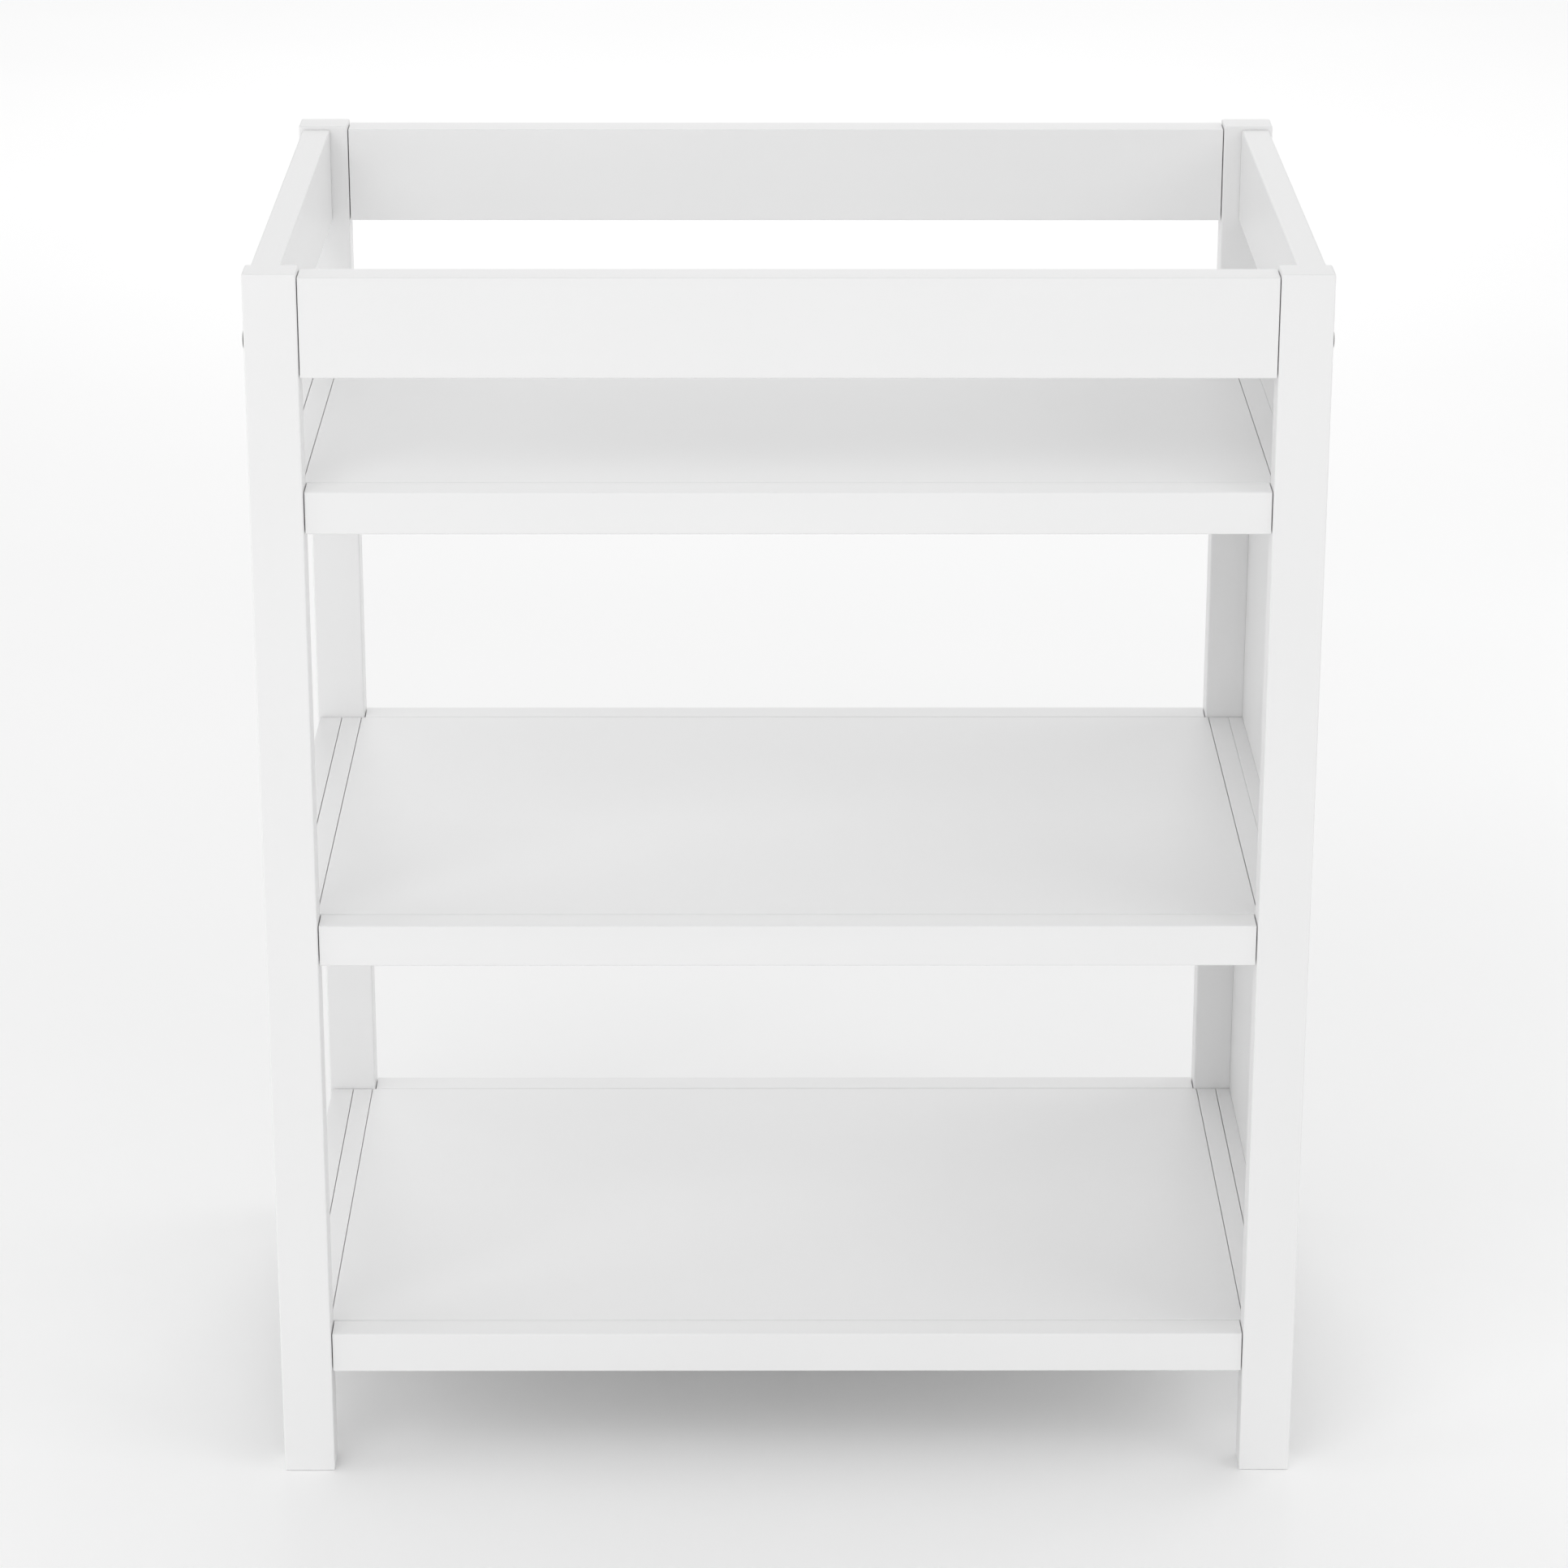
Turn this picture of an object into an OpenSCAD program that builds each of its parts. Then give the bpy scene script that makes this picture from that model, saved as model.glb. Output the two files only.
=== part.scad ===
// Changing table: two end frames and three framed shelves, with a guard rail round the top tray.
// The origin is on the floor under the middle, +Z is up and the front faces -Y.
// Each corner, end and side is drawn once for +X and +Y, and mirrored to its own place.

/* [Overall] */
// Width across the outer faces of the posts
width = 864; // [760:1:960]
// Depth from the front of the front posts to the back of the back posts
depth = 556; // [460:1:620]
// Height of the posts
height = 1058; // [1040:1:1120]

/* [Posts] */
// Width of a post, seen from the front
post_w = 43; // [42:0.5:50]
// Depth of a post, from front to back
post_d = 31; // [29:0.5:35]
// Radius on the long edges of the posts and top rails
edge_r = 1.5; // [0.5:0.25:2.5]

/* [Top rails] */
// Height of the four boards round the tray
top_rail_h = 82.5; // [76:0.5:96]
// How far the posts stand above the top rails
top_rail_drop = 3; // [0:0.5:6]
// Thickness of the front and back top rails
long_rail_t = 29; // [24:0.5:29]
// Thickness of the left and right top rails
side_rail_t = 24; // [20:0.5:26]
// How far the left and right top rails are set in from the posts' outer faces
side_rail_inset = 3.5; // [3:0.5:4.5]

/* [Shelves] */
// Height of the lowest shelf above the floor
shelf_low = 128.5; // [100:0.5:160]
// Distance from one shelf up to the next
shelf_pitch = 374.5; // [320:0.5:376]
// Height of every shelf rail and end rail
shelf_rail_h = 35.5; // [35:0.5:42]
// Thickness of the shelves' front and back rails, which are flush with the inside of the posts
shelf_rail_t = 27; // [24:0.5:29]
// Thickness of the shelves' side rails, less the gap that the upper two close at the right end
shelf_side_t = 17.5; // [17:0.5:19]
// Thickness of the shelf panels
panel_t = 12; // [12:0.5:14]
// Radius on the edges of the shelf and end rails
shelf_edge_r = 1.5; // [0.5:0.25:2]

/* [End frames] */
// Thickness of the left end rails
end_rail_t = 20; // [19:0.5:20.5]
// How far the left end rails are set in from the posts' outer faces
end_rail_inset = 2; // [1:0.5:2]
// Thickness of the panel that closes the right end
end_panel_t = 5.5; // [4:0.5:6]

/* [Fasteners] */
// Diameter of the bolt heads
head_d = 17; // [14:0.5:17]
// Height of the bolt heads
head_h = 2; // [1.5:0.25:3]
// Length of the bolts through the posts, under the head
long_bolt = 80; // [78:1:82]
// Length of the bolts through the end rails, under the head
short_bolt = 30; // [28:1:31]
// Distance of the shelf bolts from the middle of the depth
shelf_bolt_y = 150; // [80:5:170]

/* [Hidden] */
$fn = 32;
LEVELS = ["low", "middle", "top"];
SIDES = ["left", "right"];
ENDS = ["front", "back"];
NODES = [
    for (e = ENDS, s = SIDES) str("post_", e, "_", s),
    for (e = ENDS) str("top_rail_", e),
    for (s = SIDES) str("top_rail_", s),
    for (l = LEVELS, s = SIDES) str("end_rail_", l, "_", s),
    "end_panel_right",
    for (l = LEVELS) str("shelf_panel_", l),
    for (l = LEVELS, e = ENDS) str("shelf_rail_", l, "_", e),
    for (l = LEVELS, s = SIDES) str("shelf_rail_", l, "_", s),
    "top_rail_bolts", "barrel_nuts", "shelf_bolts", "threaded_inserts",
    "long_dowels", "short_dowels"];
node = "all";

// Paint and metal colours
white_paint = [0.93, 0.93, 0.92];
panel_paint = [0.90, 0.90, 0.89];
dark_metal = [0.16, 0.16, 0.15];
zinc = [0.70, 0.71, 0.73];
beech = [0.82, 0.66, 0.45];

// Gaps: at a butt joint, between a shelf and its neighbours, where the middle and top shelves are
// drawn tight to the right end, and round a sheet in its groove
butt_gap = 0.8;
shelf_gap = 0.6;
tight_gap = 0.1;
sheet_gap = 0.1;

// Planes that the pieces share, all on the +X and +Y side
post_x = width / 2 - post_w;
post_y = depth / 2 - post_d;
post_mid_y = depth / 2 - post_d / 2;
rail_top = height - top_rail_drop;
rail_low = rail_top - top_rail_h;
side_rail_x = width / 2 - side_rail_inset;
end_x_in = width / 2 - end_rail_inset - end_rail_t;
sheet_x_out = side_rail_x;
sheet_x_in = sheet_x_out - end_panel_t;
side_x_in = end_x_in - shelf_gap - shelf_side_t;
panel_x = side_x_in - shelf_gap;
panel_y = post_y - shelf_gap;
function level_z(i) = shelf_low + i * shelf_pitch;
function side_x_out(i, side) = end_x_in - (side > 0 && i > 0 ? tight_gap : shelf_gap);
function end_x_out(side) = side < 0 ? width / 2 - end_rail_inset : sheet_x_in;

// Tongue along the edges of a shelf panel, and the groove that takes it
tongue_t = 6;
tongue_len = 6;
tongue_drop = 3;
groove_play = 0.1;
groove_depth = tongue_len + shelf_gap + 0.5;

// End panel: how far it goes into the posts and the top rail, and its lower edge
sheet_in_post = 7;
sheet_in_rail = 8;
sheet_low = level_z(0) - shelf_rail_h + 2;

// Fasteners
bolt_r = 3;
bolt_hole_r = 3.3;
thread_r = 3.05;
socket_r = 2.3;
socket_depth = 3;
tip_len = 1.5;
nut_r = 5;
nut_len = 16;
nut_from_end = 32;
nut_slot_w = 1.2;
nut_slot_h = 1;
insert_r = 5;
insert_len = 13;
dowel_r = 4;
hole_play = 0.05;
long_dowel = 40;
short_dowel = 30;
short_in_post = 14;
dowel_end_play = 0.5;
rail_bolt_z = rail_low + 29;
rail_dowel_z = rail_top - 26;
side_dowel_z = [rail_low + 14, rail_top - 14];
shelf_bolt_drop = 24;
end_dowel_drop = [9.5, 27.5];

// ---------- helpers ----------

// Puts a piece drawn on the +X, +Y side on the side and end asked for
module place(side, end) {
    if (side < 0) mirror([1, 0, 0]) place(1, end) children();
    else if (end < 0) mirror([0, 1, 0]) children();
    else children();
}

// Rectangle with round corners, its lower left corner at the origin
module rounded_rect(w, h, r) {
    translate([r, 0]) square([w - 2 * r, h]);
    translate([0, r]) square([w, h - 2 * r]);
    for (x = [r, w - r], y = [r, h - r]) translate([x, y]) circle(r);
}

// Boards from corner lo to corner hi with their long edges rounded
module board_x(lo, hi, r) {
    s = hi - lo;
    translate(lo) rotate([90, 0, 90]) linear_extrude(s.x) rounded_rect(s.y, s.z, r);
}
module board_y(lo, hi, r) {
    s = hi - lo;
    translate([lo.x, hi.y, lo.z]) rotate([90, 0, 0]) linear_extrude(s.y) rounded_rect(s.x, s.z, r);
}
module board_z(lo, hi, r) {
    s = hi - lo;
    translate(lo) linear_extrude(s.z) rounded_rect(s.x, s.y, r);
}

// Block from corner lo to corner hi
module block(lo, hi) {
    translate(lo) cube(hi - lo);
}

// Round bar that starts at p and runs towards +X, +Y or +Z
module bar_x(p, len, r) {
    translate(p) rotate([0, 90, 0]) cylinder(h = len, r = r);
}
module bar_y(p, len, r) {
    translate(p) rotate([-90, 0, 0]) cylinder(h = len, r = r);
}
module bar_z(p, len, r) {
    translate(p) cylinder(h = len, r = r);
}

// Middle of the thickness of an end rail
function end_mid_x(side) = (end_x_in + end_x_out(side)) / 2;

// Heights of the long dowels: one in a top rail, and one in each shelf
long_dowel_z = [rail_dowel_z, for (i = [0:2]) level_z(i) - shelf_bolt_drop];

// Places of the short dowels in one corner, as [x, z]
function short_dowel_xz(side) = [
    for (z = side_dowel_z) [side_rail_x - side_rail_t / 2, z],
    for (i = [0:2], d = end_dowel_drop) [end_mid_x(side), level_z(i) - d]];

// ---------- end frames ----------

module post(side, end) {
    deep = long_dowel / 2 + dowel_end_play;
    color(white_paint) place(side, end) difference() {
        board_z([post_x, post_y, 0], [width / 2, depth / 2, height], edge_r);
        bar_x([post_x - 1, post_mid_y, rail_bolt_z], post_w + 2, bolt_hole_r);
        for (z = long_dowel_z)
            bar_x([post_x - 1, post_mid_y, z], deep + 1, dowel_r + hole_play);
        for (p = short_dowel_xz(side))
            bar_y([p[0], post_y - 1, p[1]], short_in_post + dowel_end_play + 1,
                  dowel_r + hole_play);
        if (side > 0)
            block([sheet_x_in - sheet_gap, post_y - 1, sheet_low - sheet_gap],
                  [sheet_x_out + sheet_gap, post_y + sheet_in_post + sheet_gap,
                   rail_low + sheet_in_rail + sheet_gap]);
    }
}

// Left or right board round the tray
module side_top_rail(side) {
    y_end = post_y - butt_gap;
    deep = short_dowel - short_in_post - butt_gap + dowel_end_play;
    color(white_paint) place(side, 1) difference() {
        board_y([side_rail_x - side_rail_t, -y_end, rail_low], [side_rail_x, y_end, rail_top],
                edge_r);
        for (z = side_dowel_z, end = [-1, 1])
            place(1, end)
                bar_y([side_rail_x - side_rail_t / 2, y_end - deep, z], deep + 1,
                      dowel_r + hole_play);
        if (side > 0)
            block([sheet_x_in - sheet_gap, -y_end - 1, rail_low - 1],
                  [side_rail_x + 1, y_end + 1, rail_low + sheet_in_rail + sheet_gap]);
    }
}

// Rail from the front post to the back post, outside a shelf
module end_rail(side, i) {
    z = level_z(i);
    y_end = post_y - butt_gap;
    deep = short_dowel - short_in_post - butt_gap + dowel_end_play;
    color(white_paint) place(side, 1) difference() {
        board_y([end_x_in, -y_end, z - shelf_rail_h], [end_x_out(side), y_end, z], shelf_edge_r);
        for (d = end_dowel_drop, end = [-1, 1])
            place(1, end)
                bar_y([end_mid_x(side), y_end - deep, z - d], deep + 1, dowel_r + hole_play);
        for (y = [-shelf_bolt_y, shelf_bolt_y])
            bar_x([end_x_in - 1, y, z - shelf_bolt_drop], end_rail_t + 2, bolt_hole_r);
    }
}

// Thin sheet that closes the right end
module end_panel() {
    y_end = post_y + sheet_in_post;
    color(panel_paint) difference() {
        block([sheet_x_in, -y_end, sheet_low], [sheet_x_out, y_end, rail_low + sheet_in_rail]);
        for (i = [0:2], y = [-shelf_bolt_y, shelf_bolt_y])
            bar_x([sheet_x_in - 1, y, level_z(i) - shelf_bolt_drop], end_panel_t + 2,
                  bolt_hole_r);
    }
}

// ---------- long top rails ----------

module long_top_rail(end) {
    x_end = post_x - butt_gap;
    y_in = post_mid_y - long_rail_t / 2;
    deep = long_dowel / 2 + dowel_end_play;
    bolt_deep = long_bolt - post_w + dowel_end_play;
    nut_top = rail_bolt_z + nut_len / 2 + dowel_end_play;
    color(white_paint) place(1, end) difference() {
        board_x([-x_end, y_in, rail_low], [x_end, y_in + long_rail_t, rail_top], edge_r);
        for (side = [-1, 1]) place(side, 1) {
            bar_x([x_end - deep, post_mid_y, rail_dowel_z], deep + 1, dowel_r + hole_play);
            bar_x([x_end - bolt_deep, post_mid_y, rail_bolt_z], bolt_deep + 1, bolt_hole_r);
            bar_z([x_end - nut_from_end, post_mid_y, rail_low - 1], nut_top - rail_low + 1,
                  nut_r + hole_play);
        }
    }
}

// ---------- shelves ----------

// Flat panel with a tongue along each edge: the front and back tongues stop short of the posts
module shelf_panel(i) {
    z = level_z(i);
    tongue_z = z - tongue_drop - tongue_t;
    tongue_x = post_x - butt_gap;
    color(panel_paint) {
        block([-panel_x, -panel_y, z - panel_t], [panel_x, panel_y, z]);
        block([-tongue_x, -panel_y - tongue_len, tongue_z],
              [tongue_x, panel_y + tongue_len, tongue_z + tongue_t]);
        block([-panel_x - tongue_len, -panel_y, tongue_z],
              [panel_x + tongue_len, panel_y, tongue_z + tongue_t]);
    }
}

// Front or back rail of a shelf
module shelf_long_rail(i, end) {
    z = level_z(i);
    x_end = post_x - butt_gap;
    deep = long_dowel / 2 + dowel_end_play;
    color(white_paint) place(1, end) difference() {
        board_x([-x_end, post_y, z - shelf_rail_h], [x_end, post_y + shelf_rail_t, z],
                shelf_edge_r);
        for (side = [-1, 1]) place(side, 1)
            bar_x([x_end - deep, post_mid_y, z - shelf_bolt_drop], deep + 1,
                  dowel_r + hole_play);
        block([-x_end - 1, post_y - 1, z - tongue_drop - tongue_t - groove_play],
              [x_end + 1, post_y + groove_depth - shelf_gap, z - tongue_drop + groove_play]);
    }
}

// Left or right rail of a shelf, beside the end rail that it is bolted to
module shelf_side_rail(i, side) {
    z = level_z(i);
    y_end = post_y - butt_gap;
    x_out = side_x_out(i, side);
    color(white_paint) place(side, 1) difference() {
        board_y([side_x_in, -y_end, z - shelf_rail_h], [x_out, y_end, z], shelf_edge_r);
        for (y = [-shelf_bolt_y, shelf_bolt_y])
            bar_x([x_out - insert_len, y, z - shelf_bolt_drop], insert_len + 1,
                  insert_r + hole_play);
        block([side_x_in - 1, -y_end - 1, z - tongue_drop - tongue_t - groove_play],
              [side_x_in + groove_depth - shelf_gap, y_end + 1, z - tongue_drop + groove_play]);
    }
}

// ---------- fasteners ----------

// Outline of a bolt head: straight rim, then a low dome
function head_outline(rim = head_h * 0.4, steps = 8) = [
    [0, 0], [head_d / 2, 0],
    for (k = [0:steps]) let (a = 90 * k / steps)
        [head_d / 2 * cos(a), rim + (head_h - rim) * sin(a)]];

// Bolt pointing towards -X, with the underside of its head at the origin
module bolt(len) {
    rotate([0, 90, 0]) difference() {
        union() {
            rotate_extrude() polygon(head_outline());
            translate([0, 0, tip_len - len]) cylinder(h = len - tip_len + 0.1, r = bolt_r);
            translate([0, 0, -len]) cylinder(h = tip_len, r1 = bolt_r - 1, r2 = bolt_r);
        }
        translate([0, 0, head_h - socket_depth]) cylinder(h = socket_depth + 1, r = socket_r, $fn = 6);
    }
}

// Bolts through the posts into the ends of the front and back top rails
module top_rail_bolts() {
    color(dark_metal) for (side = [-1, 1], end = [-1, 1]) place(side, end)
        translate([width / 2, post_mid_y, rail_bolt_z]) bolt(long_bolt);
}

// Upright cross dowels that the long bolts screw into, with a screwdriver slot in the lower end
module barrel_nuts() {
    x = post_x - butt_gap - nut_from_end;
    z = rail_bolt_z - nut_len / 2;
    color(zinc) for (side = [-1, 1], end = [-1, 1]) place(side, end) difference() {
        bar_z([x, post_mid_y, z], nut_len, nut_r);
        bar_x([x - nut_r - 1, post_mid_y, rail_bolt_z], 2 * nut_r + 2, thread_r);
        block([x - nut_r - 1, post_mid_y - nut_slot_w / 2, z - 1],
              [x + nut_r + 1, post_mid_y + nut_slot_w / 2, z + nut_slot_h]);
    }
}

// Bolts through the end rails into the shelves
module shelf_bolts() {
    color(dark_metal) for (i = [0:2], side = [-1, 1], end = [-1, 1]) place(side, end)
        translate([side < 0 ? end_x_out(side) : sheet_x_out, shelf_bolt_y,
                   level_z(i) - shelf_bolt_drop]) bolt(short_bolt);
}

// Threaded sleeves in the shelves' side rails
module threaded_inserts() {
    color(zinc) for (i = [0:2], side = [-1, 1], end = [-1, 1]) place(side, end) {
        x = side_x_out(i, side) - insert_len;
        z = level_z(i) - shelf_bolt_drop;
        difference() {
            bar_x([x, shelf_bolt_y, z], insert_len, insert_r);
            bar_x([x - 1, shelf_bolt_y, z], insert_len + 2, thread_r);
        }
    }
}

// Dowels between the posts and the front and back rails
module long_dowels() {
    color(beech) for (side = [-1, 1], end = [-1, 1], z = long_dowel_z) place(side, end)
        bar_x([post_x - long_dowel / 2, post_mid_y, z], long_dowel, dowel_r);
}

// Dowels between the posts and the side top rails and end rails
module short_dowels() {
    color(beech) for (side = [-1, 1], end = [-1, 1], p = short_dowel_xz(side)) place(side, end)
        bar_y([p[0], post_y + short_in_post - short_dowel, p[1]], short_dowel, dowel_r);
}

// ---------- nodes ----------

function wanted(name) = node == "all" || node == name;

for (e = [0, 1], s = [0, 1])
    if (wanted(str("post_", ENDS[e], "_", SIDES[s]))) post(2 * s - 1, 2 * e - 1);
for (e = [0, 1]) if (wanted(str("top_rail_", ENDS[e]))) long_top_rail(2 * e - 1);
for (s = [0, 1]) if (wanted(str("top_rail_", SIDES[s]))) side_top_rail(2 * s - 1);
for (i = [0:2], s = [0, 1])
    if (wanted(str("end_rail_", LEVELS[i], "_", SIDES[s]))) end_rail(2 * s - 1, i);
if (wanted("end_panel_right")) end_panel();
for (i = [0:2]) if (wanted(str("shelf_panel_", LEVELS[i]))) shelf_panel(i);
for (i = [0:2], e = [0, 1])
    if (wanted(str("shelf_rail_", LEVELS[i], "_", ENDS[e]))) shelf_long_rail(i, 2 * e - 1);
for (i = [0:2], s = [0, 1])
    if (wanted(str("shelf_rail_", LEVELS[i], "_", SIDES[s]))) shelf_side_rail(i, 2 * s - 1);
if (wanted("top_rail_bolts")) top_rail_bolts();
if (wanted("barrel_nuts")) barrel_nuts();
if (wanted("shelf_bolts")) shelf_bolts();
if (wanted("threaded_inserts")) threaded_inserts();
if (wanted("long_dowels")) long_dowels();
if (wanted("short_dowels")) short_dowels();
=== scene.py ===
"""Looks of the changing table: painted boards, panels and the hardware that holds them together.

Every piece is built inside the box of the CAD node that it stands for. Lengths are in metres,
+Z is up and the front of the table faces -Y.
"""

import math

import bmesh
import bpy
from mathutils import Matrix, Vector


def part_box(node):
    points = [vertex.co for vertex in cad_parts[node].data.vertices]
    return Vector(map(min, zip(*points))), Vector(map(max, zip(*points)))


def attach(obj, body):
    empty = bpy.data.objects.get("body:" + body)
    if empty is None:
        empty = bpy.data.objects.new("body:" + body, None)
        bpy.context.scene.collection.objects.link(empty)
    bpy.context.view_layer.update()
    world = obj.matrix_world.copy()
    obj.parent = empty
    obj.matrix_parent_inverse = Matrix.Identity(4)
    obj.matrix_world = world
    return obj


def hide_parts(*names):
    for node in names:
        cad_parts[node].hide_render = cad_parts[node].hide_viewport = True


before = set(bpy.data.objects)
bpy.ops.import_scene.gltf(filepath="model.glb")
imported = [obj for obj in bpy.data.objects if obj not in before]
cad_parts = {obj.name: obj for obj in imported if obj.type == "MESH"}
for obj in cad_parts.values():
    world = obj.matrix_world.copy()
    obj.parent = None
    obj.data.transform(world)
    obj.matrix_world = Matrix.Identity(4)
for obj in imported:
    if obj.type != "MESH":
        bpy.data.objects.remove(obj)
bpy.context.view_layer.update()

MM = 0.001
LEVELS = ("low", "middle", "top")
SIDES = ("left", "right")
ENDS = ("front", "back")

# Radii of the rounded edges, and the facets across one
POST_EDGE = 1.5 * MM
SHELF_EDGE = 1.5 * MM
SIDE_EDGE = 0.6 * MM
RAIL_END = 0.5 * MM
PANEL_EDGE = 0.6 * MM
SHEET_EDGE = 0.3 * MM
EDGE_STEPS = 4
PANEL_STEPS = 3
RAIL_END_STEPS = 2
SHEET_STEPS = 2

# Tongue round a shelf panel, the play in its groove, and how far the groove's cutter runs on
# past the ends of a rail
TONGUE_LEN = 6 * MM
TONGUE_T = 6 * MM
TONGUE_DROP = 3 * MM
GROOVE_PLAY = 0.1 * MM
GROOVE_END_PLAY = 0.5 * MM
GROOVE_OVERRUN = 9 * MM

# Gap between a post and the ends of the rails that meet it
POST_GAP = 0.8 * MM

# Holes: play round and beyond what is let in, and the reach of a cutter past a surface
HOLE_PLAY = 0.05 * MM
END_PLAY = 0.5 * MM
CLEAR = 1 * MM

# Bolts
SHANK_R = 3.0 * MM
SHANK_HOLE_R = 3.3 * MM
THREAD_ROOT_R = 2.5 * MM
THREAD_PITCH = 1.0 * MM
THREAD_STEPS = 24
LONG_THREAD = 24 * MM
SHORT_THREAD = 18 * MM
THREAD_START = 1.2 * MM
THREAD_RUNOUT = 0.5 * MM
TIP_BEVEL = 1 * MM
HEAD_H = 2 * MM
HEAD_BEVEL = 0.25 * MM
RIM_SHARE = 0.4
DOME_STEPS = 8
SOCKET_R = 2.3 * MM
SOCKET_DEPTH = 3.0 * MM
SOCKET_FLARE = 0.5 * MM

# Barrel nuts
NUT_BEVEL = 0.5 * MM
NUT_BORE_R = 3.05 * MM
SLOT_W = 1.2 * MM
SLOT_DEPTH = 1 * MM

# Threaded inserts: the outside thread is coarse, and the collar is plain
INSERT_THREAD_DEPTH = 0.9 * MM
INSERT_PITCH = 2.5 * MM
INSERT_TIP_BEVEL = 0.4 * MM
INSERT_THREAD_START = 0.8 * MM
INSERT_THREAD_STOP = 1.5 * MM
COLLAR_H = 1.2 * MM
COLLAR_INSET = 0.2 * MM

# Dowels
FLUTES = 20
FLUTE_DEPTH = 0.3 * MM
DOWEL_BEVEL = 1.0 * MM

# Facets round a turned piece
ROUND = 32

# Points this near each other are one point, in a drawn mesh and in one that has been carved
SAME_POINT = 1e-6
SAME_CUT_POINT = 1e-7

# Shading: edges sharper than this many degrees stay crisp, and flat faces pull the normals
CRISP = 35
BOLT_CRISP = 40
FLAT_PULL = 80

# Colours, each from the darker to the lighter end of its cloud
PAINT = ((0.87, 0.87, 0.87), (0.885, 0.885, 0.885))
FLOOR = ((0.965, 0.965, 0.965), (0.975, 0.975, 0.975))
DARK_PLATE = ((0.05, 0.05, 0.045), (0.09, 0.09, 0.08))
ZINC_PLATE = ((0.55, 0.56, 0.58), (0.68, 0.69, 0.70))
BEECH_TONES = ((0.42, 0.25, 0.12), (0.62, 0.42, 0.23), (0.72, 0.53, 0.32))
PAINT_SPECULAR = 0.4
FLOOR_ROUGHNESS = 0.9
FLOOR_SPECULAR = 0.1

# Studio: the floor's half width, the heights that the lights aim at, and the world's strength
FLOOR_HALF = 40
MIDDLE, UPPER = 0.55, 0.8
WORLD_STRENGTH = 0.60

# Lights round the table: azimuth (0 in front, 90 to the right), elevation, distance, target
# height, size and power
LIGHTS = {
    "front_low": (0, 10, 5, MIDDLE, 2.5, 25.0),
    "left_high": (-30, 35, 5, MIDDLE, 2.5, 33.7),
    "right_high": (60, 35, 5, MIDDLE, 2.5, 24.9),
    "right_side": (100, 35, 5, MIDDLE, 2.5, 9.4),
    "back_high": (180, 35, 5, MIDDLE, 2.5, 29.7),
    "left_side": (-78, 10, 2.9, UPPER, 1.5, 10.8),
    "back_left": (-121, 8, 2.94, UPPER, 1.5, 3.6),
    "back_right": (121, 8, 2.94, UPPER, 1.5, 10.0),
}

# Light straight down on the floor behind the table
FAR_LIGHT_PLACE = (0, 7, 2)
FAR_LIGHT_TARGET = (0, 7, 0)
FAR_LIGHT_SIZE = 7
FAR_LIGHT_POWER = 73.5

# Camera: lens and sensor in millimetres, place in metres, and angles in degrees
SENSOR_WIDTH = 36
LENS = 115.02
CAMERA_PLACE = (-0.0208, -4.1233, 2.0441)
PITCH, YAW, ROLL = 20.192, 0.260, 0.072
CLIP_END = 200


# ---------- mesh helpers ----------

def mid(lo, hi):
    return (lo + hi) / 2


def long_axis(lo, hi):
    """Index of the longest side of a box."""
    size = hi - lo
    return max(range(3), key=lambda k: size[k])


def overlap(a, b):
    """True if two boxes share more than a film."""
    film = 0.5 * MM
    return all(min(a[1][k], b[1][k]) - max(a[0][k], b[0][k]) > film for k in range(3))


def solids(node):
    """Box of each separate solid in a CAD node."""
    bm = bmesh.new()
    bm.from_mesh(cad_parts[node].data)
    bmesh.ops.remove_doubles(bm, verts=bm.verts, dist=SAME_POINT)
    seen = set()
    found = []
    for start in bm.verts:
        if start in seen:
            continue
        seen.add(start)
        stack, points = [start], []
        while stack:
            vert = stack.pop()
            points.append(vert.co.copy())
            for edge in vert.link_edges:
                other = edge.other_vert(vert)
                if other not in seen:
                    seen.add(other)
                    stack.append(other)
        lo = Vector(min(p[k] for p in points) for k in range(3))
        hi = Vector(max(p[k] for p in points) for k in range(3))
        found.append((lo, hi))
    bm.free()
    return found


def new_object(name, bm):
    """Object with this mesh, linked to the scene."""
    bmesh.ops.recalc_face_normals(bm, faces=bm.faces)
    mesh = bpy.data.meshes.new(name)
    bm.to_mesh(mesh)
    bm.free()
    obj = bpy.data.objects.new(name, mesh)
    bpy.context.scene.collection.objects.link(obj)
    return obj


def round_off(bm, edges, radius, steps):
    """Rounds these edges."""
    bmesh.ops.bevel(bm, geom=list(edges), offset=radius, segments=steps, profile=0.5,
                    affect="EDGES", clamp_overlap=True)


def add_block(bm, lo, hi, radius=0.0, steps=EDGE_STEPS):
    """Block from corner lo to corner hi, with every edge rounded if it has a radius."""
    place = Matrix.Translation(mid(lo, hi)) @ Matrix.Diagonal((*(hi - lo), 1))
    made = bmesh.ops.create_cube(bm, size=1, matrix=place)
    if radius:
        edges = {edge for vert in made["verts"] for edge in vert.link_edges}
        round_off(bm, edges, radius, steps)


def add_rail(bm, lo, hi, radius, end_radius):
    """Block with rounded long edges, and a smaller radius round its two ends."""
    axis = long_axis(lo, hi)
    shortest_side, longest_end = 1 * MM, 0.01 * MM

    def reach(edge):
        return abs((edge.verts[0].co - edge.verts[1].co)[axis])

    add_block(bm, lo, hi)
    sides = [edge for edge in bm.edges if reach(edge) > shortest_side]
    round_off(bm, sides, radius, EDGE_STEPS)
    bm.normal_update()
    ends = [edge for edge in bm.edges if reach(edge) < longest_end]
    round_off(bm, ends, end_radius, RAIL_END_STEPS)


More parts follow.
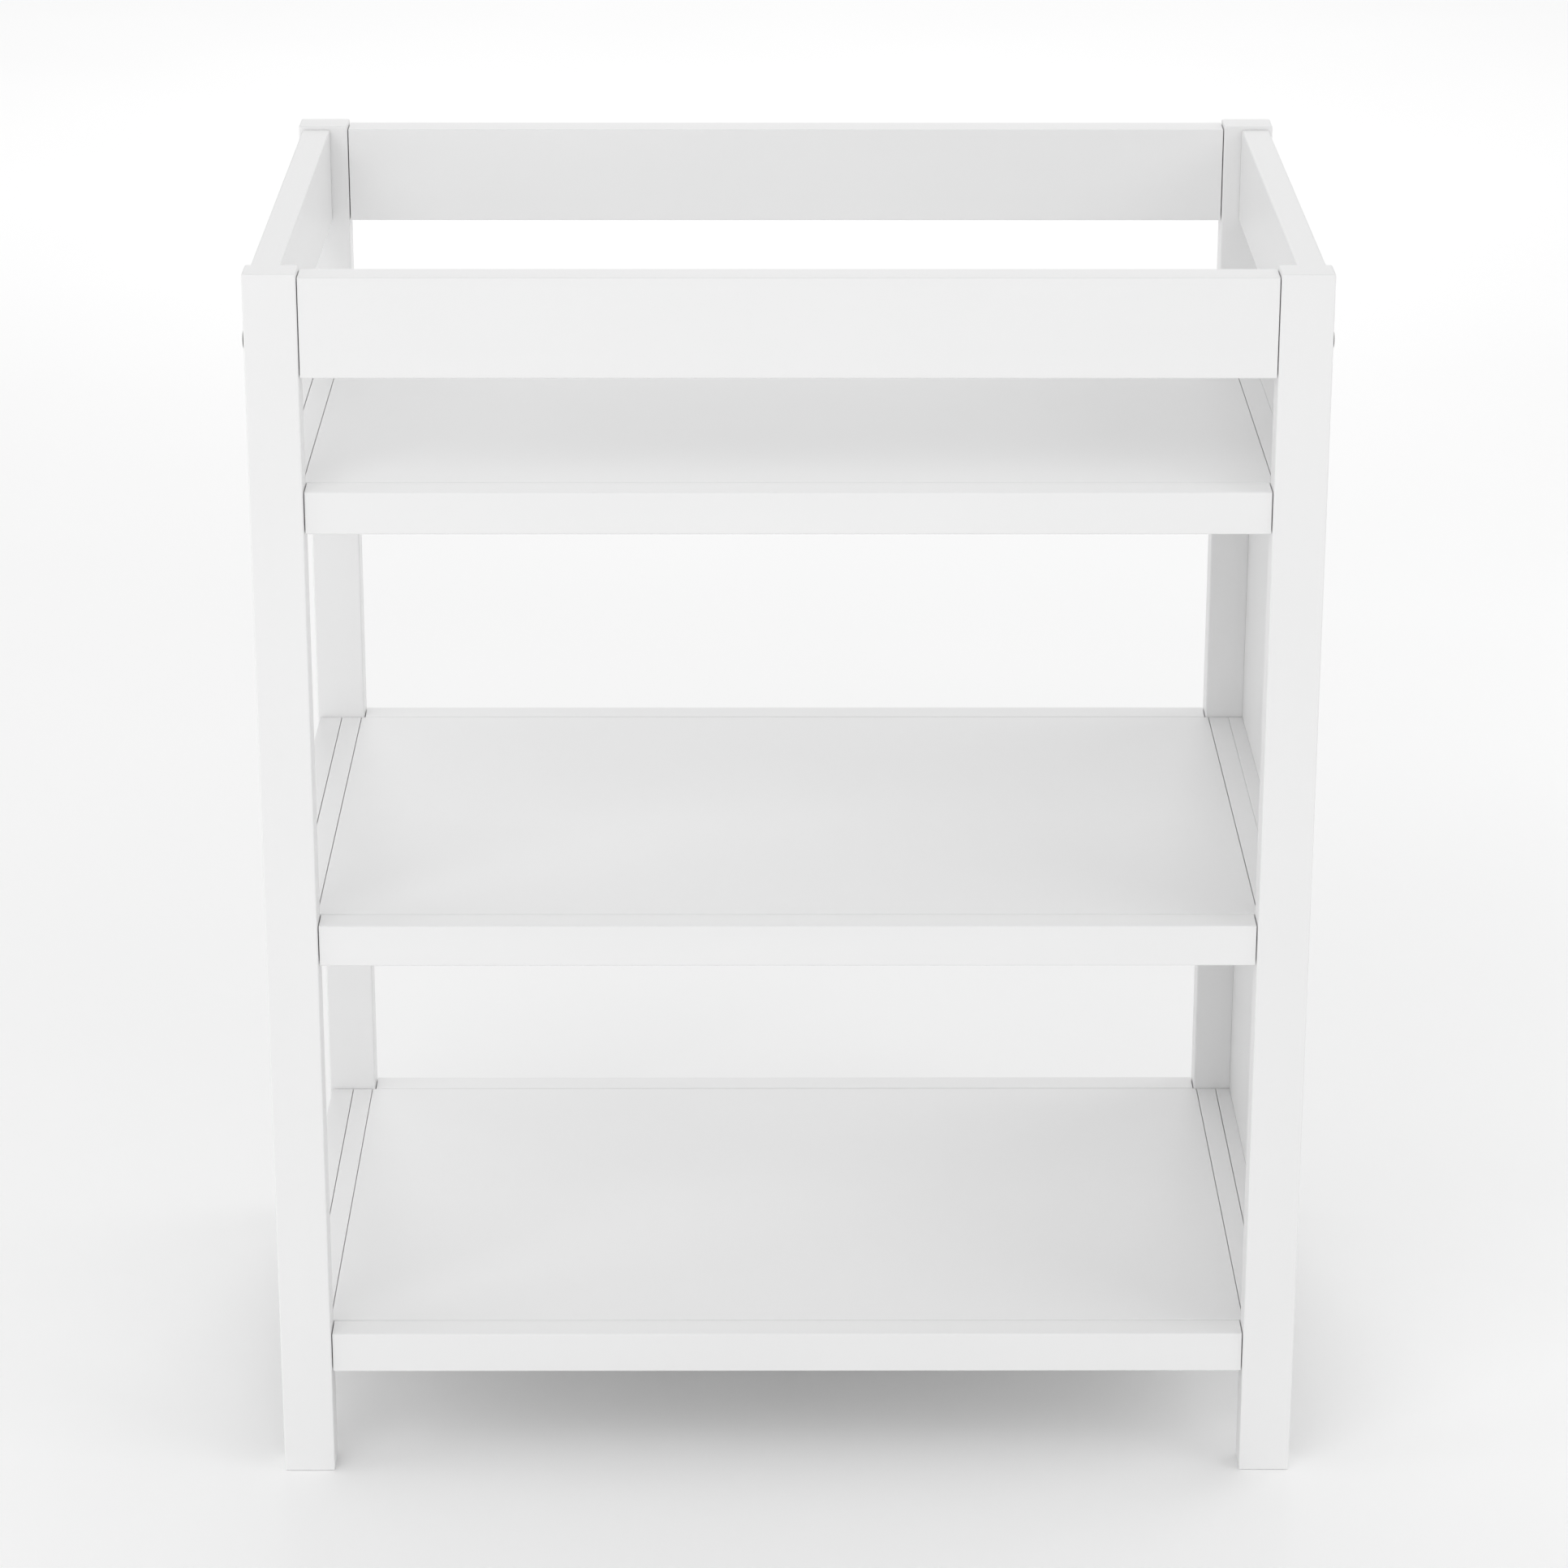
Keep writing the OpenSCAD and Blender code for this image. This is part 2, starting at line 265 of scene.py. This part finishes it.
def axis_matrix(centre, axis):
    """Places a shape drawn along +Z at a centre, with its length along the axis asked for."""
    turns = (Matrix.Rotation(math.pi / 2, 4, "Y"), Matrix.Rotation(-math.pi / 2, 4, "X"),
             Matrix.Identity(4))
    return Matrix.Translation(centre) @ turns[axis]


def add_bar(bm, lo, hi, axis, radius):
    """Round bar through the middle of a box, as long as the box along the axis."""
    bmesh.ops.create_cone(bm, cap_ends=True, segments=ROUND, radius1=radius, radius2=radius,
                          depth=(hi - lo)[axis], matrix=axis_matrix(mid(lo, hi), axis))


def grown(lo, hi, amount):
    """Box made larger by an amount along each axis."""
    by = Vector(amount)
    return lo - by, hi + by


def apply_modifiers(obj):
    """Replaces the object's mesh with the result of its modifiers."""
    bpy.context.view_layer.update()
    changed = obj.evaluated_get(bpy.context.evaluated_depsgraph_get())
    result = bpy.data.meshes.new_from_object(changed)
    old = obj.data
    obj.modifiers.clear()
    obj.data = result
    bpy.data.meshes.remove(old)


def carve(obj, cutters, operation="DIFFERENCE"):
    """Cuts each cutter out of the object, or joins it on, and throws the cutters away."""
    for number, cutter in enumerate(cutters):
        change = obj.modifiers.new(f"carve_{number}", "BOOLEAN")
        change.operation = operation
        change.solver = "EXACT"
        change.object = cutter
    apply_modifiers(obj)
    for cutter in cutters:
        bpy.data.objects.remove(cutter)


def finish(obj, material, node, crisp=CRISP):
    """Smooth shading that keeps faces flat and the material; puts the object under the root body
    and hides the CAD node that it stands for.
    """
    bm = bmesh.new()
    bm.from_mesh(obj.data)
    bmesh.ops.remove_doubles(bm, verts=bm.verts, dist=SAME_CUT_POINT)
    bmesh.ops.dissolve_degenerate(bm, edges=bm.edges, dist=SAME_CUT_POINT)
    bm.to_mesh(obj.data)
    bm.free()
    obj.data.polygons.foreach_set("use_smooth", [True] * len(obj.data.polygons))
    obj.data.set_sharp_from_angle(angle=math.radians(crisp))
    weighted = obj.modifiers.new("flat_faces", "WEIGHTED_NORMAL")
    weighted.keep_sharp = True
    weighted.weight = FLAT_PULL
    obj.data.materials.clear()
    obj.data.materials.append(material)
    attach(obj, "root")
    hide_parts(node)


# ---------- materials ----------

class Graph:
    """Shorthand for building one node material. Noise scales are in cycles per metre."""

    def __init__(self, name):
        self.material = bpy.data.materials.new(name)
        self.material.use_nodes = True
        self.nodes = self.material.node_tree.nodes
        self.links = self.material.node_tree.links
        self.shader = self.nodes["Principled BSDF"]

    def link(self, source, socket):
        self.links.new(source, socket)

    def set(self, socket, value):
        """Links a value that varies to one of the shader's sockets."""
        self.link(value, self.shader.inputs[socket])

    def noise(self, scale, detail, stretch=(1, 1, 1)):
        """Noise on the object's own coordinates, in metres, scaled along each axis."""
        where = self.nodes.new("ShaderNodeTexCoord")
        mapping = self.nodes.new("ShaderNodeMapping")
        mapping.inputs["Scale"].default_value = stretch
        self.link(where.outputs["Object"], mapping.inputs["Vector"])
        node = self.nodes.new("ShaderNodeTexNoise")
        node.inputs["Scale"].default_value = scale
        node.inputs["Detail"].default_value = detail
        self.link(mapping.outputs["Vector"], node.inputs["Vector"])
        return node.outputs["Fac"]

    def ramp(self, value, low, high):
        """Maps 0 to 1 onto a range of numbers."""
        node = self.nodes.new("ShaderNodeMapRange")
        node.inputs["To Min"].default_value = low
        node.inputs["To Max"].default_value = high
        self.link(value, node.inputs["Value"])
        return node.outputs["Result"]

    def colours(self, value, tones):
        """Colours spread evenly over the middle of a noise's range, from dark to light."""
        low, high = 0.3, 0.7
        node = self.nodes.new("ShaderNodeValToRGB")
        elements = node.color_ramp.elements
        while len(elements) < len(tones):
            elements.new(0.5)
        for number, (element, tone) in enumerate(zip(elements, tones)):
            element.position = low + (high - low) * number / (len(tones) - 1)
            element.color = (*tone, 1)
        self.link(value, node.inputs["Fac"])
        return node.outputs["Color"]

    def share(self, value, amount):
        """A value times a fixed amount."""
        node = self.nodes.new("ShaderNodeMath")
        node.operation = "MULTIPLY"
        self.link(value, node.inputs[0])
        node.inputs[1].default_value = amount
        return node.outputs["Value"]

    def blend(self, first, first_share, second, second_share):
        """Weighted sum of two patterns."""
        parts = self.share(first, first_share), self.share(second, second_share)
        node = self.nodes.new("ShaderNodeMath")
        node.operation = "ADD"
        for part, socket in zip(parts, node.inputs):
            self.link(part, socket)
        return node.outputs["Value"]

    def bump(self, height, distance, under=None):
        """Bumps of this height in metres, on top of the ones under them."""
        node = self.nodes.new("ShaderNodeBump")
        node.inputs["Distance"].default_value = distance
        self.link(height, node.inputs["Height"])
        if under is not None:
            self.link(under, node.inputs["Normal"])
        return node.outputs["Normal"]


def along(axis, length):
    """Scale that draws a pattern out along one axis."""
    return tuple(1 / length if k == axis else 1.0 for k in range(3))


def painted_wood(axis):
    """White satin lacquer on solid wood, whose grain runs along an axis and just shows through."""
    graph = Graph(f"white_lacquer_{'xyz'[axis]}")
    grain = graph.noise(scale=420, detail=3, stretch=along(axis, 40))
    figure = graph.noise(scale=38, detail=2, stretch=along(axis, 14))
    mist = graph.noise(scale=1400, detail=1)
    cloud = graph.noise(scale=5, detail=2)
    graph.set("Base Color", graph.colours(graph.blend(cloud, 0.7, figure, 0.3), PAINT))
    graph.set("Roughness", graph.ramp(graph.blend(mist, 0.5, cloud, 0.5), low=0.36, high=0.50))
    pores = graph.bump(grain, 0.012 * MM)
    waves = graph.bump(figure, 0.02 * MM, under=pores)
    graph.set("Normal", graph.bump(mist, 0.008 * MM, under=waves))
    graph.shader.inputs["Specular IOR Level"].default_value = PAINT_SPECULAR
    return graph.material


def painted_board():
    """White satin lacquer rolled onto fibreboard: an even, very fine stipple."""
    graph = Graph("white_lacquer_board")
    stipple = graph.noise(scale=700, detail=2)
    cloud = graph.noise(scale=4, detail=2)
    graph.set("Base Color", graph.colours(cloud, PAINT))
    graph.set("Roughness", graph.ramp(graph.blend(stipple, 0.5, cloud, 0.5), low=0.38, high=0.52))
    graph.set("Normal", graph.bump(stipple, 0.012 * MM))
    graph.shader.inputs["Specular IOR Level"].default_value = PAINT_SPECULAR
    return graph.material


def plated_metal(name, tones, low, high):
    """Plated steel with fine turning marks and a slight mottle, between two roughnesses."""
    graph = Graph(name)
    marks = graph.noise(scale=4000, detail=2, stretch=(1, 0.05, 0.05))
    mottle = graph.noise(scale=300, detail=3)
    graph.set("Base Color", graph.colours(mottle, tones))
    graph.set("Roughness", graph.ramp(graph.blend(marks, 0.6, mottle, 0.4), low, high))
    graph.set("Normal", graph.bump(marks, 0.01 * MM))
    graph.shader.inputs["Metallic"].default_value = 1.0
    return graph.material


def bare_beech():
    """Turned beech with short dark flecks along the grain."""
    graph = Graph("bare_beech")
    grain = graph.noise(scale=900, detail=3, stretch=(0.2, 0.2, 1))
    fleck = graph.noise(scale=2600, detail=1, stretch=(0.3, 0.3, 1))
    tone = graph.blend(grain, 0.65, fleck, 0.35)
    graph.set("Base Color", graph.colours(tone, BEECH_TONES))
    graph.set("Roughness", graph.ramp(grain, low=0.5, high=0.7))
    graph.set("Normal", graph.bump(tone, 0.03 * MM))
    return graph.material


def floor_paint():
    """Even pale studio floor."""
    graph = Graph("studio_floor")
    cloud = graph.noise(scale=1.5, detail=2)
    graph.set("Base Color", graph.colours(cloud, FLOOR))
    graph.shader.inputs["Roughness"].default_value = FLOOR_ROUGHNESS
    graph.shader.inputs["Specular IOR Level"].default_value = FLOOR_SPECULAR
    return graph.material


WOOD = [painted_wood(axis) for axis in range(3)]
BOARD = painted_board()
DARK_METAL = plated_metal("dark_plated_steel", DARK_PLATE, low=0.32, high=0.5)
ZINC = plated_metal("zinc_plated_steel", ZINC_PLATE, low=0.28, high=0.42)
BEECH = bare_beech()


# ---------- cutters ----------

def cutter(draw):
    """Object for carving, drawn by a function on an empty mesh."""
    bm = bmesh.new()
    draw(bm)
    return new_object("cutter", bm)


def bar_cutter(box, axis, radius):
    """Round bar through the middle of a box."""
    return cutter(lambda bm: add_bar(bm, *box, axis, radius))


def block_cutter(box):
    """The whole of a box."""
    return cutter(lambda bm: add_block(bm, *box))


def cone_cutter(segments, low_radius, high_radius, depth, height):
    """Upright prism or cone, centred at a height."""
    return cutter(lambda bm: bmesh.ops.create_cone(
        bm, cap_ends=True, segments=segments, radius1=low_radius, radius2=high_radius, depth=depth,
        matrix=Matrix.Translation((0, 0, height))))


def stretched(box, axis, low, high):
    """Box made longer at its low and high end along one axis."""
    lo, hi = box[0].copy(), box[1].copy()
    lo[axis] -= low
    hi[axis] += high
    return lo, hi


def tongue_boxes(level):
    """The two slabs, crossing under the panel, whose edges are the tongues of a shelf panel."""
    lo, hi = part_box(f"shelf_panel_{level}")
    half_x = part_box("post_back_right")[0].x - POST_GAP
    half_y = hi.y - TONGUE_LEN
    top = hi.z - TONGUE_DROP
    wide = (Vector((lo.x, -half_y, top - TONGUE_T)), Vector((hi.x, half_y, top)))
    deep = (Vector((-half_x, lo.y, top - TONGUE_T)), Vector((half_x, hi.y, top)))
    return wide, deep


def holes():
    """What is let into the wood, as (its box, the kind of cutter, the cutter's values)."""
    found = []
    for node in ("long_dowels", "short_dowels"):
        for box in solids(node):
            axis = long_axis(*box)
            radius = min(box[1] - box[0]) / 2 + HOLE_PLAY
            hole = stretched(box, axis, END_PLAY, END_PLAY)
            found.append((box, bar_cutter, (hole, axis, radius)))
    for node in ("top_rail_bolts", "shelf_bolts"):
        for box in solids(node):
            hole = stretched(box, 0, END_PLAY, END_PLAY)
            found.append((box, bar_cutter, (hole, 0, SHANK_HOLE_R)))
    for box in solids("threaded_inserts"):
        outward = (0, END_PLAY) if box[0].x > 0 else (END_PLAY, 0)
        radius = (box[1] - box[0]).y / 2 + HOLE_PLAY
        found.append((box, bar_cutter, (stretched(box, 0, *outward), 0, radius)))
    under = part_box("top_rail_front")[0].z
    for box in solids("barrel_nuts"):
        hole = stretched(box, 2, box[0].z - under + CLEAR, END_PLAY)
        radius = (box[1] - box[0]).x / 2 + HOLE_PLAY
        found.append((box, bar_cutter, (hole, 2, radius)))
    for level in LEVELS:
        wide, deep = tongue_boxes(level)
        for box, play in ((wide, (GROOVE_END_PLAY, GROOVE_OVERRUN, GROOVE_PLAY)),
                          (deep, (GROOVE_OVERRUN, GROOVE_END_PLAY, GROOVE_PLAY))):
            found.append((box, block_cutter, (grown(*box, play),)))
    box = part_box("end_panel_right")
    found.append((box, block_cutter, (grown(*box, (GROOVE_PLAY,) * 3),)))
    return found


HOLES = holes()


def cutters_for(box):
    """A cutter for each thing that is let into the board in this box."""
    return [make(*values) for let_in, make, values in HOLES if overlap(let_in, box)]


# ---------- wooden pieces ----------

def board(node, radius, end_radius=RAIL_END):
    """Solid wood board with rounded edges and ends, and the holes and grooves that it needs."""
    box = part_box(node)
    bm = bmesh.new()
    if end_radius == radius:
        add_block(bm, *box, radius)
    else:
        add_rail(bm, *box, radius, end_radius)
    obj = new_object(f"{node}_board", bm)
    carve(obj, cutters_for(box))
    finish(obj, WOOD[long_axis(*box)], node)


def shelf_panel(level):
    """Flat panel with a tongue along each edge."""
    node = f"shelf_panel_{level}"
    lo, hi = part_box(node)
    margin = Vector((TONGUE_LEN, TONGUE_LEN, 0))
    bm = bmesh.new()
    add_block(bm, lo + margin, hi - margin, PANEL_EDGE, PANEL_STEPS)
    obj = new_object(f"{node}_board", bm)
    carve(obj, [block_cutter(box) for box in tongue_boxes(level)], "UNION")
    finish(obj, BOARD, node)


def end_panel():
    """Thin sheet let into the posts, with the holes for the shelf bolts."""
    node = "end_panel_right"
    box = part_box(node)
    bm = bmesh.new()
    add_block(bm, *box, SHEET_EDGE, SHEET_STEPS)
    obj = new_object(f"{node}_sheet", bm)
    carve(obj, [bar_cutter(stretched(bolt, 0, END_PLAY, END_PLAY), 0, SHANK_HOLE_R)
                for bolt in solids("shelf_bolts") if overlap(bolt, box)])
    finish(obj, BOARD, node)


# ---------- hardware ----------

def lathe(bm, outline, steps=ROUND):
    """Turns an outline of (radius, height) points, from bottom to top, into a closed body."""
    rings = []
    for radius, height in outline:
        if radius == 0:
            rings.append([bm.verts.new((0, 0, height))] * steps)
        else:
            rings.append([bm.verts.new((radius * math.cos(a), radius * math.sin(a), height))
                          for a in (2 * math.pi * k / steps for k in range(steps))])
    for below, above in zip(rings, rings[1:]):
        for k in range(steps):
            corners = [below[k], below[(k + 1) % steps], above[(k + 1) % steps], above[k]]
            unique = list(dict.fromkeys(corners))
            if len(unique) > 2:
                bm.faces.new(unique)


def dome(radius, height, rise):
    """Points on a quarter ellipse, from its rim up to the axis."""
    angles = [math.radians(90 * k / DOME_STEPS) for k in range(DOME_STEPS + 1)]
    return [(radius * math.cos(a), height + rise * math.sin(a)) for a in angles]


def thread_rows(root, crest, pitch, low, high):
    """Points of a helical thread between two heights, in rows that climb half a pitch each.

    Roots and crests take turns, and the thread fades out in its first and last half pitch.
    """
    rows = []
    turns = math.ceil((high - low) / pitch) + 1
    for row in range(-2, 2 * turns + 2):
        line = []
        for k in range(THREAD_STEPS + 1):
            height = low + pitch * (row / 2 + k / THREAD_STEPS)
            radius = crest if row % 2 else root
            if height <= low + pitch / 2 or height >= high - pitch / 2:
                radius = root
            angle = 2 * math.pi * k / THREAD_STEPS
            line.append((radius * math.cos(angle), radius * math.sin(angle),
                         min(max(height, low), high)))
        rows.append(line)
    return rows


def add_threaded_bar(bm, root, crest, pitch, low, high, bottom, top):
    """Bar along Z with a real helical thread between low and high, closed by two outlines."""
    grid = [[bm.verts.new(point) for point in row]
            for row in thread_rows(root, crest, pitch, low, high)]
    for below, above in zip(grid, grid[1:]):
        for k in range(THREAD_STEPS):
            bm.faces.new((below[k], below[k + 1], above[k + 1], above[k]))
    lathe(bm, bottom + [(root, low)], THREAD_STEPS)
    lathe(bm, [(root, high)] + top, THREAD_STEPS)
    bmesh.ops.remove_doubles(bm, verts=bm.verts, dist=SAME_POINT)
    bmesh.ops.dissolve_degenerate(bm, edges=bm.edges, dist=SAME_POINT)


def bolt(length, head_r, thread_len):
    """Low-headed connector bolt, tip down, with the underside of its head at the origin."""
    rim = RIM_SHARE * HEAD_H
    tip = [(0, -length), (SHANK_R - TIP_BEVEL, -length)]
    shank = [(SHANK_R, -length + thread_len + THREAD_RUNOUT), (SHANK_R, 0)]
    head = [(head_r - HEAD_BEVEL, 0), (head_r, HEAD_BEVEL)] + dome(head_r, rim, HEAD_H - rim)
    bm = bmesh.new()
    add_threaded_bar(bm, THREAD_ROOT_R, SHANK_R, THREAD_PITCH, -length + THREAD_START,
                     -length + thread_len, tip, shank + head)
    obj = new_object("bolt", bm)
    socket = cone_cutter(6, SOCKET_R, SOCKET_R, 2 * SOCKET_DEPTH, HEAD_H)
    flare = cone_cutter(ROUND, SOCKET_R - SOCKET_FLARE, SOCKET_R + SOCKET_FLARE,
                        2 * SOCKET_FLARE, HEAD_H)
    carve(obj, [socket, flare])
    return obj


def joined(name, master, places):
    """One object that holds a copy of the master at each place."""
    bm = bmesh.new()
    for place in places:
        start = len(bm.verts)
        bm.from_mesh(master.data)
        bm.verts.ensure_lookup_table()
        bmesh.ops.transform(bm, matrix=place, verts=bm.verts[start:])
    obj = new_object(name, bm)
    bpy.data.objects.remove(master)
    return obj


def facing_out(box):
    """Places a bolt drawn along +Z so that its head points away from the middle of the table."""
    lo, hi = box
    outward = 1 if lo.x > 0 else -1
    under_head = hi.x - HEAD_H if outward > 0 else lo.x + HEAD_H
    turn = Matrix.Rotation(outward * math.pi / 2, 4, "Y")
    return Matrix.Translation((under_head, *mid(lo, hi).yz)) @ turn


def bolts(node, thread_len):
    """Every bolt of a node, each as long as its CAD solid."""
    boxes = solids(node)
    size = boxes[0][1] - boxes[0][0]
    master = bolt(size.x - HEAD_H, size.y / 2, thread_len)
    obj = joined(f"{node}_steel", master, [facing_out(box) for box in boxes])
    finish(obj, DARK_METAL, node, BOLT_CRISP)


def barrel_nuts():
    """Cross dowels with bevelled ends, a cross hole and a slot in the lower end."""
    node = "barrel_nuts"
    boxes = solids(node)
    size = boxes[0][1] - boxes[0][0]
    radius, half = size.x / 2, size.z / 2
    bm = bmesh.new()
    lathe(bm, [(0, -half), (radius - NUT_BEVEL, -half), (radius, NUT_BEVEL - half),
               (radius, half - NUT_BEVEL), (radius - NUT_BEVEL, half), (0, half)])
    master = new_object("barrel_nut", bm)
    reach = radius + CLEAR
    around_nut = Vector((reach, reach, half))
    hole = bar_cutter((-around_nut, around_nut), 0, NUT_BORE_R)
    slot = block_cutter((Vector((-reach, -SLOT_W / 2, -half - CLEAR)),
                         Vector((reach, SLOT_W / 2, SLOT_DEPTH - half))))
    carve(master, [hole, slot])
    places = [Matrix.Translation(mid(*box)) for box in boxes]
    finish(joined(f"{node}_steel", master, places), ZINC, node)


def threaded_inserts():
    """Sleeves with a coarse thread outside and a smooth bore for the bolt's thread."""
    node = "threaded_inserts"
    boxes = solids(node)
    size = boxes[0][1] - boxes[0][0]
    crest, half = size.y / 2, size.x / 2
    root = crest - INSERT_THREAD_DEPTH
    collar = crest - COLLAR_INSET
    bm = bmesh.new()
    add_threaded_bar(bm, root, crest, INSERT_PITCH, INSERT_THREAD_START - half,
                     half - INSERT_THREAD_STOP, [(0, -half), (root - INSERT_TIP_BEVEL, -half)],
                     [(collar, half - COLLAR_H), (collar, half), (0, half)])
    master = new_object("insert", bm)
    reach = Vector((crest, crest, half + CLEAR))
    carve(master, [bar_cutter((-reach, reach), 2, SHANK_R + HOLE_PLAY)])
    places = [axis_matrix(mid(*box), 0) @ Matrix.Rotation(0 if box[0].x > 0 else math.pi, 4, "X")
              for box in boxes]
    finish(joined(f"{node}_steel", master, places), ZINC, node)


def dowels(node):
    """Fluted dowels with bevelled ends."""
    boxes = solids(node)
    lo, hi = boxes[0]
    axis = long_axis(lo, hi)
    half = (hi - lo)[axis] / 2
    radius = min(hi - lo) / 2
    steps = 2 * FLUTES
    bm = bmesh.new()

    def ring(outer, inner, height):
        """Ring of points that are by turns at the outer and at the inner radius."""
        points = []
        for k in range(steps):
            at, angle = inner if k % 2 else outer, 2 * math.pi * k / steps
            points.append(bm.verts.new((at * math.cos(angle), at * math.sin(angle), height)))
        return points

    tip, flute = radius - DOWEL_BEVEL, radius - FLUTE_DEPTH
    rings = [ring(tip, tip, -half), ring(radius, flute, DOWEL_BEVEL - half),
             ring(radius, flute, half - DOWEL_BEVEL), ring(tip, tip, half)]
    for below, above in zip(rings, rings[1:]):
        for k in range(steps):
            bm.faces.new((below[k], below[(k + 1) % steps], above[(k + 1) % steps], above[k]))
    bm.faces.new(list(reversed(rings[0])))
    bm.faces.new(rings[-1])
    master = new_object("dowel", bm)
    places = [axis_matrix(mid(*box), axis) for box in boxes]
    finish(joined(f"{node}_wood", master, places), BEECH, node)


# ---------- assembly ----------

for end in ENDS:
    for side in SIDES:
        board(f"post_{end}_{side}", POST_EDGE, POST_EDGE)
    board(f"top_rail_{end}", POST_EDGE)
for side in SIDES:
    board(f"top_rail_{side}", POST_EDGE)
for level in LEVELS:
    shelf_panel(level)
    for end in ENDS:
        board(f"shelf_rail_{level}_{end}", SHELF_EDGE)
    for side in SIDES:
        board(f"shelf_rail_{level}_{side}", SIDE_EDGE)
        board(f"end_rail_{level}_{side}", SIDE_EDGE)
end_panel()
bolts("top_rail_bolts", LONG_THREAD)
bolts("shelf_bolts", SHORT_THREAD)
barrel_nuts()
threaded_inserts()
dowels("long_dowels")
dowels("short_dowels")


# ---------- studio ----------

def studio_floor():
    """Plain pale floor, wide enough to reach the horizon of every view."""
    bm = bmesh.new()
    bmesh.ops.create_grid(bm, x_segments=1, y_segments=1, size=FLOOR_HALF)
    floor = new_object("floor", bm)
    floor.data.materials.append(floor_paint())


def around(azimuth, elevation, distance, height):
    """A place for a light, and its target on the table's axis."""
    turn, rise = math.radians(azimuth), math.radians(elevation)
    away = Vector((math.sin(turn) * math.cos(rise), -math.cos(turn) * math.cos(rise),
                   math.sin(rise)))
    target = Vector((0, 0, height))
    return target + away * distance, target


def soft_box(name, place, target, size, power):
    """Square area light that faces its target."""
    data = bpy.data.lights.new(name, "AREA")
    data.shape = "SQUARE"
    data.size = size
    data.energy = power
    light = bpy.data.objects.new(name, data)
    light.location = place
    light.rotation_euler = (Vector(place) - Vector(target)).to_track_quat("Z", "Y").to_euler()
    light.visible_camera = False
    bpy.context.scene.collection.objects.link(light)


def surroundings():
    """Even white light from all round."""
    world = bpy.data.worlds.new("studio")
    world.use_nodes = True
    background = world.node_tree.nodes["Background"]
    background.inputs["Color"].default_value = (1, 1, 1, 1)
    background.inputs["Strength"].default_value = WORLD_STRENGTH
    bpy.context.scene.world = world


def camera():
    """Camera in front of the table, looking down at it."""
    data = bpy.data.cameras.new("camera")
    data.sensor_width = SENSOR_WIDTH
    data.lens = LENS
    data.clip_end = CLIP_END
    view = bpy.data.objects.new("camera", data)
    pitch, yaw, roll = (math.radians(angle) for angle in (PITCH, YAW, ROLL))
    view.matrix_world = (Matrix.Translation(CAMERA_PLACE) @ Matrix.Rotation(-yaw, 4, "Z")
                         @ Matrix.Rotation(math.pi / 2 - pitch, 4, "X")
                         @ Matrix.Rotation(roll, 4, "Z"))
    bpy.context.scene.collection.objects.link(view)
    bpy.context.scene.camera = view


studio_floor()
surroundings()
for name, (azimuth, elevation, distance, height, size, power) in LIGHTS.items():
    soft_box(name, *around(azimuth, elevation, distance, height), size, power)
soft_box("far_floor", FAR_LIGHT_PLACE, FAR_LIGHT_TARGET, FAR_LIGHT_SIZE, FAR_LIGHT_POWER)
camera()
bpy.context.scene.view_settings.view_transform = "Standard"
